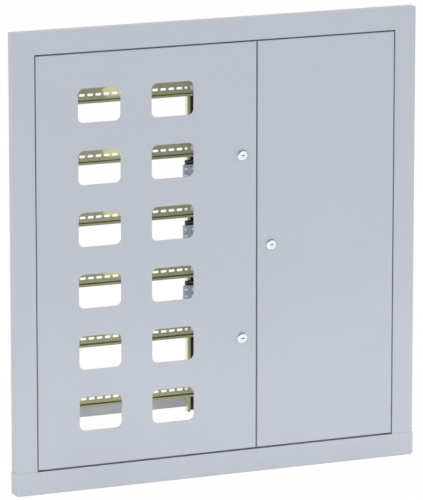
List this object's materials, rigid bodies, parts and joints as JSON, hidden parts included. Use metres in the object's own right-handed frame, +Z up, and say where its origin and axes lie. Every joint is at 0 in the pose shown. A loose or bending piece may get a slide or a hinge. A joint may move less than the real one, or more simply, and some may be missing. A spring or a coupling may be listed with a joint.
{
  "type": "floor distribution board",
  "caption": "Flush sheet-steel distribution board: a wide face frame with a windowed left door and a plain right door, cam locks, and an open carrier of posts and slotted rails behind.",
  "frame": {"origin": "middle of the four wall slots, on the back of the rear bars", "axes": "+X to the right seen from the front, +Y into the wall, +Z up"},
  "size_m": [0.939, 0.1635, 1.0015],
  "materials": {
    "paint": "fine matt powder coat, light grey",
    "yellow_zinc": "bright yellow-passivated zinc",
    "grey_zinc": "grey coat",
    "bolts": "bright zinc",
    "lock_metal": "satin chrome",
    "lock_steel": "zinc plate",
    "insulator": "black moulding",
    "terminal_metal": "tinned",
    "clamp_screws": "bright zinc",
    "brass": "plain brass"
  },
  "bodies": {
    "board": {"bar_bolts": "bolts", "bus_bar_bolts": "bolts", "bus_bar_screws": "clamp_screws", "din_rail_1": "yellow_zinc", "din_rail_2": "yellow_zinc", "din_rail_3": "yellow_zinc", "din_rail_4": "yellow_zinc", "din_rail_5": "yellow_zinc", "din_rail_6": "yellow_zinc", "earth_bar": "brass", "face_frame": "paint", "left_post": "yellow_zinc", "lower_cover": "paint", "lower_rear_bar": "grey_zinc", "mullion": "paint", "mullion_web": "paint", "neutral_bar": "brass", "neutral_standoffs": "insulator", "partition": "paint", "phase_bar_1": "terminal_metal", "phase_bar_2": "terminal_metal", "phase_bar_3": "terminal_metal", "phase_bar_screws": "clamp_screws", "phase_insulator_1": "insulator", "phase_insulator_2": "insulator", "phase_insulator_3": "insulator", "rail_bolts": "bolts", "right_post": "yellow_zinc", "upper_rear_bar": "grey_zinc"},
    "left_door": {"left_door": "paint", "left_door_pivot_pins": "bolts", "left_lock_bodies": "lock_metal"},
    "right_door": {"right_door": "paint", "right_door_pivot_pins": "bolts", "right_lock_body": "lock_metal"},
    "upper_lock": {"upper_lock_plug": "lock_metal", "upper_lock_cam": "lock_steel", "upper_lock_cam_nut": "lock_steel"},
    "lower_lock": {"lower_lock_plug": "lock_metal", "lower_lock_cam": "lock_steel", "lower_lock_cam_nut": "lock_steel"},
    "right_lock": {"right_lock_plug": "lock_metal", "right_lock_cam": "lock_steel", "right_lock_cam_nut": "lock_steel"}
  },
  "joints": [
    {"name": "left_door_hinge", "type": "hinge", "parent": "board", "child": "left_door", "pos_m": [-0.4058, -0.1515, 0], "axis": [0, 0, -1], "range_deg": [0, 110]},
    {"name": "right_door_hinge", "type": "hinge", "parent": "board", "child": "right_door", "pos_m": [0.4058, -0.1515, 0], "axis": [0, 0, 1], "range_deg": [0, 110]},
    {"name": "upper_lock_turn", "type": "hinge", "parent": "left_door", "child": "upper_lock", "pos_m": [0.0568, -0.1585, 0.2023], "axis": [0, -1, 0], "range_deg": [0, 90]},
    {"name": "lower_lock_turn", "type": "hinge", "parent": "left_door", "child": "lower_lock", "pos_m": [0.0568, -0.1585, -0.2003], "axis": [0, -1, 0], "range_deg": [0, 90]},
    {"name": "right_lock_turn", "type": "hinge", "parent": "right_door", "child": "right_lock", "pos_m": [0.125, -0.1585, 0.001], "axis": [0, 1, 0], "range_deg": [0, 90]}
  ]
}
